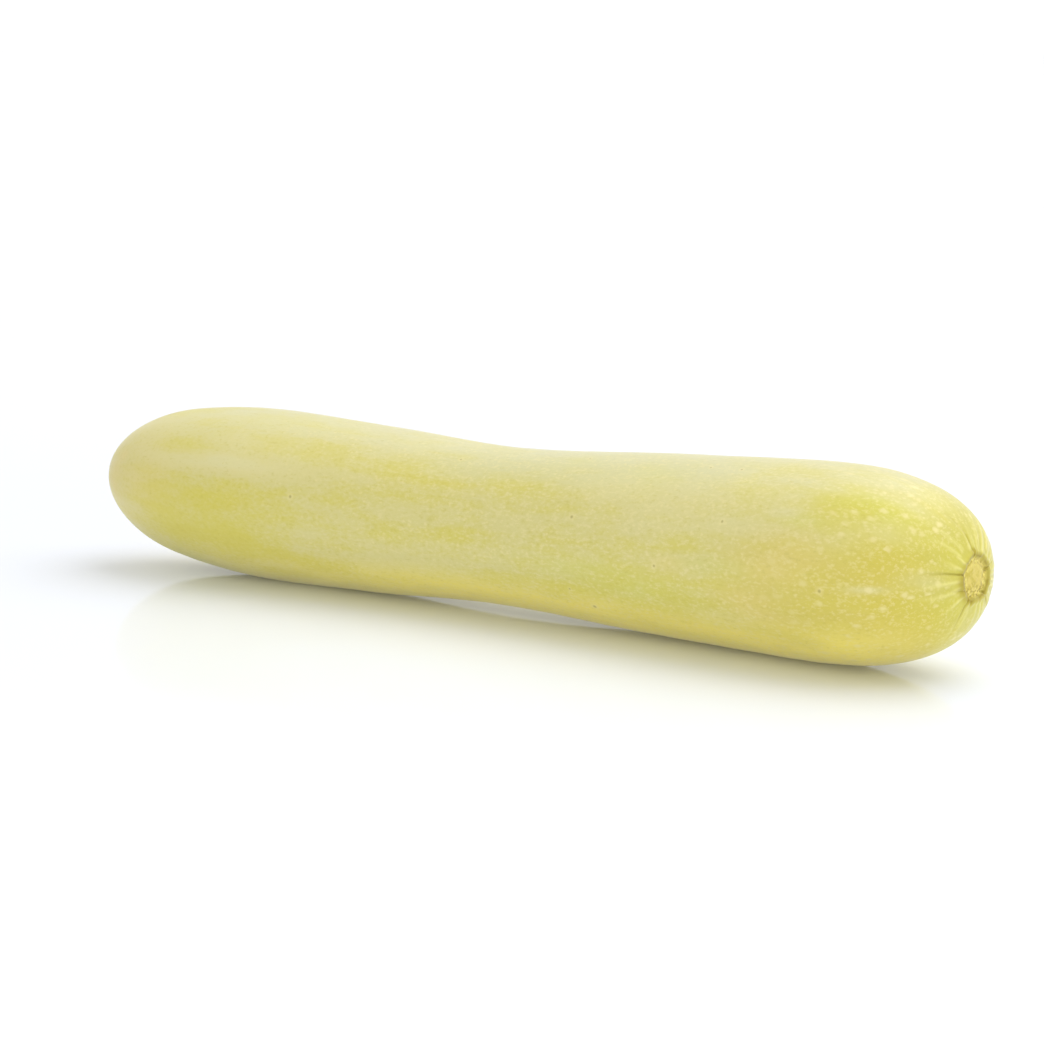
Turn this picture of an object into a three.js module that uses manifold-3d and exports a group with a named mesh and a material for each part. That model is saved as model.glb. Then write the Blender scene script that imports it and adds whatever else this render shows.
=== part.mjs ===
import * as THREE from 'three';
import { mergeVertices } from 'three/addons/utils/BufferGeometryUtils.js';
import Module from 'manifold-3d';

// A whole pale yellow cucumber, lying on its side as it comes to rest on a table.
// Units are millimetres. +X runs from the stem end to the blossom end, +Y is the side that the fruit
// bows towards, +Z is up. The origin is the middle of the footprint, on the surface it rests on.

// ---- Driving dimensions ----

const LENGTH = 258;                                             // straight, from tip to tip
const BODY_RADII = [15.5, 21.9, 21.3, 19.4, 21.5, 23.0, 22.5];  // at even steps from stem to blossom

// The middle line bows to one side and sags a little, so the fruit rests near its two thick parts.
const BOW = 6.3;
const BOW_LEAN = 0.4;        // moves the fullest part of the bow towards the stem
const BOW_FLATTEN = 0.8;     // one long S added to the bow
const SAG = 2.7;
const SAG_LEAN = 0.25;

// Each tip is a superellipse: length is the share of the fruit it takes up, power its bluntness.
const STEM_TIP = { length: 0.101, power: 2.2 };
const BLOSSOM_TIP = { length: 0.16, power: 2.58 };

// A cucumber grows from three joined parts, so its section is a very soft rounded triangle.
const CARPELS = 3;
const CARPEL_SWELL = 0.2;
const CARPEL_PHASE = 0.5;

// The dry scar where the blossom dropped off, and the smaller one where the stem broke away.
const BLOSSOM_SCAR = { radius: 4.6, depth: 0.55, rim: 0.3 };
const STEM_SCAR = { radius: 3.4, depth: 0.4, rim: 0.15 };
const SCAR_RINGS = [0.4, 0.75, 0.9, 1.05, 1.25, 1.5];           // shares of the scar's radius

// The skin settles flat where it carries the weight.
const REST_FLAT = 0.25;

const SIDES = 60;
const TIP_RINGS = 10;
const BODY_RINGS = 38;

// ---- The middle line and the girth ----

const bodyLine = new THREE.CatmullRomCurve3(
  BODY_RADII.map((radius, i) => new THREE.Vector3(i / (BODY_RADII.length - 1), radius, 0)),
  false, 'catmullrom', 0.5);

function middle(t) {
  const arch = 4 * t * (1 - t);
  const wave = Math.sin(2 * Math.PI * t);
  return new THREE.Vector3(
    LENGTH * (t - 0.5),
    BOW * arch + BOW_LEAN * wave + BOW_FLATTEN * Math.sin(3 * Math.PI * t),
    -SAG * arch - SAG_LEAN * wave);
}

function heading(t) {
  const step = 1e-3;
  return middle(t + step).sub(middle(t - step)).normalize();
}

function tipShare(distance, tip) {
  if (distance >= tip.length) return 1;
  return (1 - (1 - distance / tip.length) ** tip.power) ** (1 / tip.power);
}

function girth(t) {
  return bodyLine.getPoint(t).y * tipShare(t, STEM_TIP) * tipShare(1 - t, BLOSSOM_TIP);
}

// How far from a tip, as a share of the length, the tip has grown to a share of its full radius.
function tipDistance(share, tip) {
  return tip.length * (1 - (1 - share ** tip.power) ** (1 / tip.power));
}

// ---- The sections ----

// Rings from a tip inwards: close ones over the scar, then even steps round the rounded end.
function tipStations(tip, scar, fullRadius) {
  const stations = SCAR_RINGS.map((ring) => tipDistance(ring * scar.radius / fullRadius, tip));
  const lastShare = SCAR_RINGS.at(-1) * scar.radius / fullRadius;
  const startTurn = Math.asin(lastShare ** (tip.power / 2));
  for (let i = 1; i <= TIP_RINGS; i++) {
    const turn = startTurn + (Math.PI / 2 - startTurn) * i / TIP_RINGS;
    stations.push(tipDistance(Math.sin(turn) ** (2 / tip.power), tip));
  }
  return stations;
}

function allStations() {
  const stem = tipStations(STEM_TIP, STEM_SCAR, BODY_RADII[0]);
  const blossom = tipStations(BLOSSOM_TIP, BLOSSOM_SCAR, BODY_RADII.at(-1)).map((d) => 1 - d);
  const body = [];
  for (let i = 1; i < BODY_RINGS; i++) {
    body.push(THREE.MathUtils.lerp(stem.at(-1), blossom.at(-1), i / BODY_RINGS));
  }
  return [...stem, ...body, ...blossom.reverse()];
}

// The scar is a shallow pan with a low rim: how far it stands out of the tip at a radius.
function scarRelief(radius, scar) {
  const pan = -scar.depth * (1 - THREE.MathUtils.smoothstep(radius / scar.radius, 0.7, 1.0));
  const rim = scar.rim * Math.exp(-(((radius / scar.radius - 1.08) / 0.14) ** 2));
  return pan + rim;
}

function sectionPoint(t, turn, radius, outward) {
  const along = heading(t);
  const side = new THREE.Vector3().crossVectors(along, new THREE.Vector3(0, 0, 1)).normalize();
  const up = new THREE.Vector3().crossVectors(side, along);
  return middle(t)
    .addScaledVector(along, outward)
    .addScaledVector(side, radius * Math.cos(turn))
    .addScaledVector(up, radius * Math.sin(turn));
}

function fruitGeometry() {
  const stations = allStations();
  const points = [];
  for (const t of stations) {
    const radius = girth(t);
    const swell = CARPEL_SWELL * (radius / BODY_RADII[1]) ** 3;
    const scar = t < 0.5 ? STEM_SCAR : BLOSSOM_SCAR;
    const outward = scarRelief(radius, scar) * (t < 0.5 ? -1 : 1);
    for (let i = 0; i < SIDES; i++) {
      const turn = 2 * Math.PI * i / SIDES;
      const lobe = swell * Math.cos(CARPELS * (turn - CARPEL_PHASE));
      points.push(...sectionPoint(t, turn, radius + lobe, outward).toArray());
    }
  }
  const stemPole = points.length / 3;
  points.push(...sectionPoint(0, 0, 0, STEM_SCAR.depth).toArray());
  points.push(...sectionPoint(1, 0, 0, -BLOSSOM_SCAR.depth).toArray());
  const blossomPole = stemPole + 1;

  const faces = [];
  const lastRing = (stations.length - 1) * SIDES;
  for (let i = 0; i < SIDES; i++) {
    const next = (i + 1) % SIDES;
    faces.push(stemPole, i, next);
    faces.push(blossomPole, lastRing + next, lastRing + i);
    for (let ring = 0; ring < lastRing; ring += SIDES) {
      const a = ring + i;
      const b = ring + next;
      faces.push(a, a + SIDES, b);
      faces.push(b, a + SIDES, b + SIDES);
    }
  }
  const geometry = new THREE.BufferGeometry();
  geometry.setAttribute('position', new THREE.Float32BufferAttribute(points, 3));
  geometry.setIndex(faces);
  return geometry;
}

// Moves a shape over the middle of its footprint, with its lowest part just under the surface.
function settle(geometry) {
  geometry.computeBoundingBox();
  const { min, max } = geometry.boundingBox;
  return geometry.translate(-(min.x + max.x) / 2, -(min.y + max.y) / 2, -min.z - REST_FLAT);
}

// ---- The flat where it rests ----

const wasm = await Module();
wasm.setup();

function toSolid(geometry) {
  const bare = geometry.clone();
  bare.deleteAttribute('normal');
  bare.deleteAttribute('uv');
  const merged = mergeVertices(bare);
  const vertProperties = new Float32Array(merged.attributes.position.array);
  const triVerts = new Uint32Array(merged.index.array);
  return new wasm.Manifold(new wasm.Mesh({ numProp: 3, vertProperties, triVerts }));
}

function toGeometry(solid) {
  const mesh = solid.getMesh();
  const geometry = new THREE.BufferGeometry();
  geometry.setAttribute('position', new THREE.BufferAttribute(mesh.vertProperties, 3));
  geometry.setIndex(new THREE.BufferAttribute(mesh.triVerts, 1));
  geometry.computeVertexNormals();
  return geometry;
}

// Everything above the surface: a block that stands on it and is roomier than the fruit.
function aboveSurface() {
  const room = 2 * LENGTH;
  return new THREE.BoxGeometry(room, room, room).translate(0, 0, room / 2);
}

// ---- The part ----

const skin = new THREE.MeshStandardMaterial({ color: 0xd8cd78, roughness: 0.45, metalness: 0 });

const fruit = toSolid(settle(fruitGeometry())).intersect(toSolid(aboveSurface()));
const cucumber = new THREE.Mesh(toGeometry(fruit), skin);
cucumber.name = 'cucumber';

const group = new THREE.Group();
group.add(cucumber);

export default group;
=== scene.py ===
"""A whole pale yellow cucumber, lying on a white table.

The fruit is modelled straight: rings of skin are extruded one after another from the stem end to
the blossom end. Its relief is raised and sunk while it is straight, then it is bent along its middle
line and settled on the table. Lengths are in millimetres until MM makes them metres.
"""

import logging
import math
from collections.abc import Callable, Iterator
from contextlib import contextmanager
from dataclasses import dataclass, field
from enum import Enum
from functools import partial
from typing import ClassVar

import bpy
import numpy as np
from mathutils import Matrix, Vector


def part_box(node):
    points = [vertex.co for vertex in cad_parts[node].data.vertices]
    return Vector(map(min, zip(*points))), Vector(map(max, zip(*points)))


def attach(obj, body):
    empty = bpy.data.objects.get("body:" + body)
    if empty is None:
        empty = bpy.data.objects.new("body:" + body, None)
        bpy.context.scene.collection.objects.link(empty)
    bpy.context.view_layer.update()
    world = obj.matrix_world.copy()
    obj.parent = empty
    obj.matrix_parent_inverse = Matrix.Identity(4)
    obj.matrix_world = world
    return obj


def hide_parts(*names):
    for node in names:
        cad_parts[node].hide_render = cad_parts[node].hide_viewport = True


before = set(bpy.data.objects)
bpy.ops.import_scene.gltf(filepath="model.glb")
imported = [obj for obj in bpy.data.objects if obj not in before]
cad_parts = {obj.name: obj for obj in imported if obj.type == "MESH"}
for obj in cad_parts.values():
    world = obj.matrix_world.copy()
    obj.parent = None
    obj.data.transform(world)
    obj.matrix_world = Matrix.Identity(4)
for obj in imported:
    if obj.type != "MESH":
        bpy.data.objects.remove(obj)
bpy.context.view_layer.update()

MM = 0.001
NODE = "cucumber"
BODY = "root"
LOG = logging.getLogger("cucumber")

Socket = bpy.types.NodeSocket
Colour = tuple[float, float, float, float]


# ---- Small helpers ----


def colour(red: int, green: int, blue: int) -> Colour:
    """Turns a display colour into the linear one that a shader takes.

    Args:
        red: Red from 0 to 255.
        green: Green from 0 to 255.
        blue: Blue from 0 to 255.

    Returns:
        The linear colour with full opacity.
    """
    def linear(value: int) -> float:
        """One channel, by the display curve."""
        share = value / 255
        return share / 12.92 if share <= 0.04045 else ((share + 0.055) / 1.055) ** 2.4

    return linear(red), linear(green), linear(blue), 1.0


def smooth(value: np.ndarray, start: float, end: float) -> np.ndarray:
    """A soft step.

    Args:
        value: Where to read the step.
        start: Where the step is still 0.
        end: Where it has reached 1. It may be lower than start.

    Returns:
        The step's height at each value, from 0 to 1.
    """
    share = np.clip((value - start) / (end - start), 0, 1)
    return share * share * (3 - 2 * share)


def bell(value: np.ndarray, width: np.ndarray | float) -> np.ndarray:
    """A bell round 0 that has fallen to about a third at one width."""
    return np.exp(-((value / width) ** 2))


def turn_between(turn: np.ndarray, centre: np.ndarray | float) -> np.ndarray:
    """The signed angle from centre to turn, in radians, the short way round."""
    return (turn - centre + math.pi) % (2 * math.pi) - math.pi


def deselect_all() -> None:
    """Leaves no object selected and none in edit mode."""
    if bpy.context.object and bpy.context.object.mode != "OBJECT":
        bpy.ops.object.mode_set(mode="OBJECT")
    bpy.ops.object.select_all(action="DESELECT")


def pick(piece: bpy.types.Object) -> None:
    """Makes one object the only selected one, and the active one.

    Args:
        piece: The object.
    """
    deselect_all()
    piece.select_set(True)
    bpy.context.view_layer.objects.active = piece


@contextmanager
def editing(piece: bpy.types.Object, mode: str = "VERT") -> Iterator[None]:
    """Edit mode on one piece, with nothing selected at first.

    Args:
        piece: The mesh to edit.
        mode: What is picked: VERT, EDGE or FACE.
    """
    pick(piece)
    bpy.ops.object.mode_set(mode="EDIT")
    bpy.ops.mesh.select_mode(type=mode)
    bpy.ops.mesh.select_all(action="DESELECT")
    yield
    bpy.ops.object.mode_set(mode="OBJECT")


def points_of(piece: bpy.types.Object) -> np.ndarray:
    """Reads where a mesh's vertices are.

    Args:
        piece: The mesh.

    Returns:
        Rows of x, y and z, in metres.
    """
    places = np.empty(len(piece.data.vertices) * 3)
    piece.data.vertices.foreach_get("co", places)
    return places.reshape(-1, 3)


def select_points(piece: bpy.types.Object, test: Callable[[np.ndarray], np.ndarray]) -> None:
    """Selects vertices of the piece that is in edit mode, by where they are.

    Args:
        piece: The mesh in edit mode.
        test: Takes rows of x, y and z, and returns True for each vertex to select.
    """
    bpy.ops.mesh.select_all(action="DESELECT")
    bpy.ops.object.mode_set(mode="OBJECT")
    piece.data.vertices.foreach_set("select", test(points_of(piece)).tolist())
    bpy.ops.object.mode_set(mode="EDIT")


def apply_modifier(piece: bpy.types.Object, kind: str, **settings: object) -> None:
    """Adds a modifier, sets it and applies it.

    Args:
        piece: The mesh to change.
        kind: The modifier's type.
        settings: Its properties by name.
    """
    pick(piece)
    bpy.ops.object.modifier_add(type=kind)
    modifier = piece.modifiers[-1]
    for name, value in settings.items():
        setattr(modifier, name, value)
    bpy.ops.object.modifier_apply(modifier=modifier.name)


# ---- The form of the fruit ----


@dataclass(frozen=True)
class Tip:
    """The rounded end of the fruit, a superellipse.

    Attributes:
        length: The share of the fruit that the tip takes up.
        power: Its bluntness, where 2 is an ellipse.
    """

    length: float
    power: float

    def share(self, distance: np.ndarray) -> np.ndarray:
        """The share of the full radius at a distance from the tip, both as shares."""
        inside = np.clip(1 - distance / self.length, 0, 1)
        return (1 - inside**self.power) ** (1 / self.power)


@dataclass(frozen=True)
class FruitForm:
    """The driving sizes of the fruit, in millimetres, and the lines that follow from them.

    Attributes:
        length: The length of the straight line from pole to pole.
        radii: The radius at even stations from the stem end to the blossom end, before the tips close it.
        bow: How far the middle bows to the back.
        bow_lean: How much more it bows in the stem half than in the blossom half.
        bow_flatten: How far its middle is flattened, while the parts near the ends gain as much.
        sag: How far the middle sags.
        sag_lean: How much more it sags in the stem half than in the blossom half.
        stem_tip: The rounding of the stem end.
        blossom_tip: The rounding of the blossom end.
    """

    length: float = 258
    radii: tuple[float, ...] = (15.5, 21.9, 21.3, 19.4, 21.5, 23.0, 22.5)
    bow: float = 6.3
    bow_lean: float = 0.4
    bow_flatten: float = 0.8
    sag: float = 2.7
    sag_lean: float = 0.25
    stem_tip: Tip = Tip(0.101, 2.2)
    blossom_tip: Tip = Tip(0.16, 2.58)

    def body_radius(self, t: np.ndarray) -> np.ndarray:
        """The girth line before the tips close it, through even stations.

        Args:
            t: Shares of the length, 0 at the stem and 1 at the blossom.

        Returns:
            The radius at each share.
        """
        radii = np.array(self.radii)
        steps = len(radii) - 1
        before = 2 * radii[0] - radii[1]
        after = 2 * radii[-1] - radii[-2]
        line = np.concatenate([[before], radii, [after]])
        place = np.clip(t, 0, 1) * steps
        index = np.minimum(place.astype(int), steps - 1)
        u = place - index
        a, b, c, d = (line[index + i] for i in range(4))
        bend = (2 * a - 5 * b + 4 * c - d) * u**2 + (3 * b - a - 3 * c + d) * u**3
        return 0.5 * (2 * b + (c - a) * u + bend)

    def radius(self, t: np.ndarray) -> np.ndarray:
        """The finished radius at each share of the length."""
        return self.body_radius(t) * self.stem_tip.share(t) * self.blossom_tip.share(1 - t)

    def middle(self, t: np.ndarray) -> np.ndarray:
        """The bowed and sagging middle line.

        Args:
            t: Shares of the length, 0 at the stem and 1 at the blossom.

        Returns:
            Rows of x, y and z.
        """
        arch = 4 * t * (1 - t)
        wave = np.sin(2 * np.pi * t)
        x = self.length * (t - 0.5)
        y = self.bow * arch + self.bow_lean * wave + self.bow_flatten * np.sin(3 * np.pi * t)
        return np.stack([x, y, -self.sag * arch - self.sag_lean * wave], axis=-1)


class SkinRuler:
    """Measures along the fruit: on its middle line, and on its skin from either pole.

    Attributes:
        POLE_STEPS: How many steps it measures in each half.
        FLAT_END: The radius up to which an end counts as flat.
        END_SHARE: The share of the length in which an end lies.
    """

    POLE_STEPS: ClassVar[int] = 4000
    FLAT_END: ClassVar[float] = 13.0
    END_SHARE: ClassVar[float] = 0.08

    def __init__(self, form: FruitForm) -> None:
        """Measures one form.

        Args:
            form: The fruit's form.
        """
        from_pole = np.geomspace(1e-8, 0.5, self.POLE_STEPS)
        self.t = np.concatenate([[0], from_pole, 1 - from_pole[-2::-1], [1]])
        middle = form.middle(self.t)
        self.along = self._walk(middle)
        self.radius = form.radius(self.t)
        self.skin = self._walk(np.stack([self.along, self.radius], axis=-1))

    @staticmethod
    def _walk(points: np.ndarray) -> np.ndarray:
        """The distance walked along a line of points, at each point."""
        steps = np.linalg.norm(np.diff(points, axis=0), axis=1)
        return np.concatenate([[0], np.cumsum(steps)])

    @property
    def length(self) -> float:
        """The length of the middle line."""
        return float(self.along[-1])

    @property
    def skin_length(self) -> float:
        """The length of the skin from pole to pole."""
        return float(self.skin[-1])

    def ring(self, from_blossom: float) -> tuple[float, float]:
        """Where a ring of skin lies.

        Args:
            from_blossom: Its distance from the blossom pole, along the skin.

        Returns:
            Its place along the middle line and its radius.
        """
        skin = self.skin_length - from_blossom
        return float(np.interp(skin, self.skin, self.along)), float(np.interp(skin, self.skin, self.radius))

    def from_blossom(self, along: np.ndarray, radius: np.ndarray) -> np.ndarray:
        """Distances along the skin from the blossom pole.

        On the two flat ends the radius tells them apart best, and elsewhere the place along.

        Args:
            along: Places along the middle line.
            radius: Distances from the middle line.

        Returns:
            The distance of each point from the blossom pole.
        """
        rising = self.t < self.END_SHARE
        falling = self.t > 1 - self.END_SHARE
        stem_edge = np.interp(self.FLAT_END, self.radius[rising], self.along[rising])
        blossom_edge = np.interp(self.FLAT_END, self.radius[falling][::-1], self.along[falling][::-1])
        by_place = np.interp(along, self.along, self.skin)
        by_stem = np.interp(radius, self.radius[rising], self.skin[rising])
        by_blossom = np.interp(radius, self.radius[falling][::-1], self.skin[falling][::-1])
        skin = np.where(along < stem_edge, by_stem, by_place)
        skin = np.where(along > blossom_edge, by_blossom, skin)
        return self.skin_length - skin


class End(Enum):
    """The two ends of the fruit."""

    BLOSSOM = "blossom"
    STEM = "stem"


@dataclass
class SkinPlaces:
    """Where each vertex of the straight fruit lies on the skin.

    Attributes:
        turn: The angle round the fruit: 0 on the front, a quarter turn on top, in radians.
        radius: The distance from the middle line.
        from_blossom: The distance from the blossom pole, along the skin.
        from_stem: The distance from the stem pole, along the skin.
    """

    turn: np.ndarray
    radius: np.ndarray
    from_blossom: np.ndarray
    from_stem: np.ndarray

    def from_end(self, end: End) -> np.ndarray:
        """The distance from one end's pole, along the skin."""
        return self.from_blossom if end is End.BLOSSOM else self.from_stem


# ---- Relief ----


@dataclass(frozen=True)
class Relief:
    """One pass that raises or sinks the skin where its weights say.

    Attributes:
        name: What the pass makes.
        height: How far full weight moves the skin outwards.
        weights: The weight of each vertex, from its place.
        grain: The size of the lumps that break the pass up, or None for an even pass.
        FAINTEST: The weight below which the skin stays as it is.
    """

    FAINTEST: ClassVar[float] = 0.002

    name: str
    height: float
    weights: Callable[[SkinPlaces], np.ndarray]
    grain: float | None = None

    def apply(self, piece: bpy.types.Object, places: SkinPlaces) -> None:
        """Paints the weights and displaces the skin.

        Args:
            piece: The straight fruit.
            places: Where its vertices are.
        """
        group = piece.vertex_groups.new(name=self.name)
        weights = np.clip(self.weights(places), 0, 1)
        for index in np.flatnonzero(weights > self.FAINTEST):
            group.add([int(index)], float(weights[index]), "REPLACE")
        settings = {"strength": self.height * MM, "mid_level": 0.0, "vertex_group": self.name}
        if self.grain is not None:
            lumps = bpy.data.textures.new(self.name, "CLOUDS")
            lumps.noise_scale = self.grain * MM
            lumps.noise_depth = 2
            settings |= {"texture": lumps, "texture_coords": "LOCAL", "mid_level": 0.5}
        apply_modifier(piece, "DISPLACE", **settings)
        piece.vertex_groups.clear()


# ---- Scars and pleats ----


@dataclass(frozen=True)
class Crease:
    """A sharp fold that runs out from a scar.

    Attributes:
        turn: Where it starts, in degrees round the fruit.
        reach: How far from the pole it runs out.
        depth: How deep it is beside the scar, as against the other creases.
        sway: How many degrees it turns per millimetre on its way out.
        corner: How far it pulls the scar's edge out.
        stain: How far beyond the scar's edge it is stained.
    """

    turn: float
    reach: float
    depth: float
    sway: float = 0.0
    corner: float = 0.0
    stain: float = 0.0

    def beside(self, turn: np.ndarray, width: float) -> np.ndarray:
        """How near each turn is to where the fold starts, from 0 to 1."""
        return bell(turn_between(turn, math.radians(self.turn)), width)

    def across(self, places: SkinPlaces, out: np.ndarray) -> np.ndarray:
        """How far sideways each vertex is from the fold's line."""
        line = math.radians(self.turn) + math.radians(self.sway) * out
        return turn_between(places.turn, line) * places.radius


@dataclass(frozen=True)
class Scar:
    """A dry, corky scar where a part of the plant dropped off, with the pleats round it.

    Attributes:
        end: The end of the fruit that it closes.
        radii: The radius of its ragged edge at even turns, from turn 0.
        creases: The main folds that run out from it.
        pleats: How many fine pleats lie round it.
        pleat_reach: How far from the pole the pleats run.
        seed: Sets the pleats' small differences.
        weathered: The turn, in degrees, at which the olive border is widest.
        lip_height: How far the skin swells round it.
        pleat_height: How far the fine pleats stand out.
        fold_depth: The depth of the deepest crease.
        pan_depth: How far its floor is sunk.
        cork_grain: The size of the lumps on its floor.
        cork_height: How far the lumps reach up and down together.
        ripple: How far its edge waves in and out.
        corner_width: How wide the corners are that the creases pull out, in radians.
        weathered_width: How far round the wide part of the border reaches, in radians.
    """

    end: End
    radii: tuple[float, ...]
    creases: tuple[Crease, ...]
    pleats: int
    pleat_reach: float
    seed: int
    weathered: float
    lip_height: float
    pleat_height: float
    fold_depth: float
    pan_depth: float
    cork_grain: float
    cork_height: float = 0.4
    ripple: float = 0.05
    corner_width: float = 0.16
    weathered_width: float = 0.7

    @property
    def radius(self) -> float:
        """The usual radius of the edge."""
        return sum(self.radii) / len(self.radii)

    def edge(self, turn: np.ndarray) -> np.ndarray:
        """The radius of the scar's uneven edge at each turn.

        Args:
            turn: Angles round the fruit, in radians.

        Returns:
            The radius at each.
        """
        turns = np.linspace(0, 2 * math.pi, len(self.radii), endpoint=False)
        edge = np.interp(turn, turns, self.radii, period=2 * math.pi)
        for crease in self.creases:
            edge = edge + crease.corner * crease.beside(turn, self.corner_width)
        return edge + self.ripple * np.cos(23 * turn) + self.ripple * np.cos(14 * turn + 1.1)

    def share(self, places: SkinPlaces) -> np.ndarray:
        """The distance from the pole as a share of the edge's radius."""
        return places.from_end(self.end) / self.edge(places.turn)

    def beyond(self, places: SkinPlaces) -> np.ndarray:
        """How far outside the edge each vertex is."""
        return places.from_end(self.end) - self.edge(places.turn)

    def weathering(self, places: SkinPlaces) -> np.ndarray:
        """How near each vertex's turn is to the side where the border is widest, from 0 to 1."""
        return bell(turn_between(places.turn, math.radians(self.weathered)), self.weathered_width)

    def pan(self, places: SkinPlaces) -> np.ndarray:
        """How deep the sunken floor is, from 0 to 1."""
        return smooth(self.share(places), 1.0, 0.86)

    def lip(self, places: SkinPlaces) -> np.ndarray:
        """The swollen ring of skin just outside the edge."""
        return bell(self.share(places) - 1.16, 0.13)

    def core(self, places: SkinPlaces) -> np.ndarray:
        """The smoother middle of the floor, from 0 to 1."""
        return smooth(self.share(places), 0.85, 0.45)

    def outline(self, places: SkinPlaces) -> np.ndarray:
        """The dried line that follows the edge."""
        weathering = self.weathering(places)
        return bell(self.beyond(places) - 0.25 * weathering, 0.33 + 0.22 * weathering)

    def scorch(self, places: SkinPlaces) -> np.ndarray:
        """The olive skin that borders the edge, and the stained corners.

        Args:
            places: Where the vertices are.

        Returns:
            How strong it is at each vertex, from 0 to 1.
        """
        beyond, weathering = self.beyond(places), self.weathering(places)
        total = (0.8 + 0.2 * weathering) * bell(beyond - 0.4 - 0.5 * weathering, 0.45 + 0.75 * weathering)
        for crease in self.creases:
            if crease.stain:
                stain = smooth(beyond, crease.stain, 0.6 * crease.stain) * smooth(beyond, -0.2, 0.2)
                total = np.maximum(total, stain * crease.beside(places.turn, 0.17))
        return total

    def pucker(self, places: SkinPlaces) -> np.ndarray:
        """The drawn-in ring of skin round the scar, from 0 to 1."""
        inner = smooth(self.share(places), 0.9, 1.1)
        return smooth(places.from_end(self.end), self.pleat_reach, 0.45 * self.pleat_reach) * inner

    def folds(self, places: SkinPlaces) -> np.ndarray:
        """How deep the main creases are, as a share of the deepest.

        Args:
            places: Where the vertices are.

        Returns:
            The share at each vertex.
        """
        out = places.from_end(self.end)
        deepest = max(crease.depth for crease in self.creases)
        total = np.zeros_like(out)
        start = smooth(out, 0.85 * self.radius, 1.05 * self.radius)
        for crease in self.creases:
            width = 0.15 + 0.016 * out
            fade = smooth(out, crease.reach, 0.45 * crease.reach) * start
            total = np.maximum(total, crease.depth / deepest * fade * bell(crease.across(places, out), width))
        return total

    def ridges(self, places: SkinPlaces) -> np.ndarray:
        """How high the fine pleats stand, from 0 to 1.

        Args:
            places: Where the vertices are.

        Returns:
            The height at each vertex.
        """
        rng = np.random.default_rng(self.seed)
        out = places.from_end(self.end)
        total = np.zeros_like(out)
        for i in range(self.pleats):
            start = 2 * math.pi * (i + rng.uniform(-0.35, 0.35)) / self.pleats
            reach = self.pleat_reach * rng.uniform(0.55, 1.45)
            height = rng.uniform(0.3, 1.0)
            sway = math.radians(rng.uniform(-0.8, 0.8))
            begin = self.radius * rng.uniform(0.98, 1.5)
            aside = turn_between(places.turn, start + sway * out) * places.radius
            width = 0.17 + 0.024 * out
            fade = smooth(out, reach, 0.4 * reach) * smooth(out, begin, 1.2 * begin)
            total = np.maximum(total, height * fade * bell(aside, width))
        return total

    def reliefs(self) -> list[Relief]:
        """The passes that model the scar and its pleats, in order.

        Returns:
            The passes.
        """
        name = self.end.value
        return [
            Relief(f"{name}_lip", self.lip_height, self.lip),
            Relief(f"{name}_ridges", self.pleat_height, self.ridges),
            Relief(f"{name}_folds", -self.fold_depth, self.folds),
            Relief(f"{name}_pan", -self.pan_depth, self.pan),
            Relief(f"{name}_cork", self.cork_height, self.pan, grain=self.cork_grain),
        ]

    def masks(self, places: SkinPlaces) -> dict[str, np.ndarray]:
        """The masks that the skin's material reads, by name.

        Args:
            places: Where the vertices are.

        Returns:
            The masks' names and their values at each vertex.
        """
        return {
            "pan": self.pan(places),
            "core": self.core(places),
            "outline": self.outline(places),
            "scorch": self.scorch(places),
            "pucker": self.pucker(places),
            "fold": self.folds(places),
            "ridge": self.ridges(places),
        }


# ---- Tones ----


class Tone(Enum):
    """The tones that blend over the pale skin. Three of them are painted light: a painted sheen on the top,
    painted bounce light on the underside and painted shade on the upper shoulder.
    """

    RIPE = "ripe"
    GREEN = "green"
    CREAM = "cream"
    PEACH = "peach"
    # Painted bounce light on the underside.
    BELLY = "painted_bounce_light"
    OLIVE = "olive"
    # Painted sheen: a paler, cooler top where the light glances.
    HAZE = "painted_top_sheen"
    GOLD = "gold"
    # Painted shade on the upper shoulder of the middle.
    SAGE = "sage"


@dataclass(frozen=True)
class Blush:
    """A soft patch of one tone.

    Attributes:
        tone: Its tone.
        from_blossom: Its middle's distance from the blossom pole.
        turn: Its middle's angle round the fruit, in degrees.
        length: Half its length.
        width: Half its width.
        strength: How strong it is at its middle.
    """

    tone: Tone
    from_blossom: float
    turn: float
    length: float
    width: float
    strength: float

    def mask(self, places: SkinPlaces) -> np.ndarray:
        """How strong the patch is at each vertex.

        Args:
            places: Where the vertices are.

        Returns:
            Its strength at each.
        """
        along = (places.from_blossom - self.from_blossom) / self.length
        aside = turn_between(places.turn, math.radians(self.turn)) * places.radius / self.width
        return self.strength * np.exp(-(along**2) - aside**2)


def patches(tone: Tone, *rows: tuple[float, float, float, float, float]) -> tuple[Blush, ...]:
    """Patches of one tone, each row giving its place, turn, length, width and strength."""
    return tuple(Blush(tone, *row) for row in rows)


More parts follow.
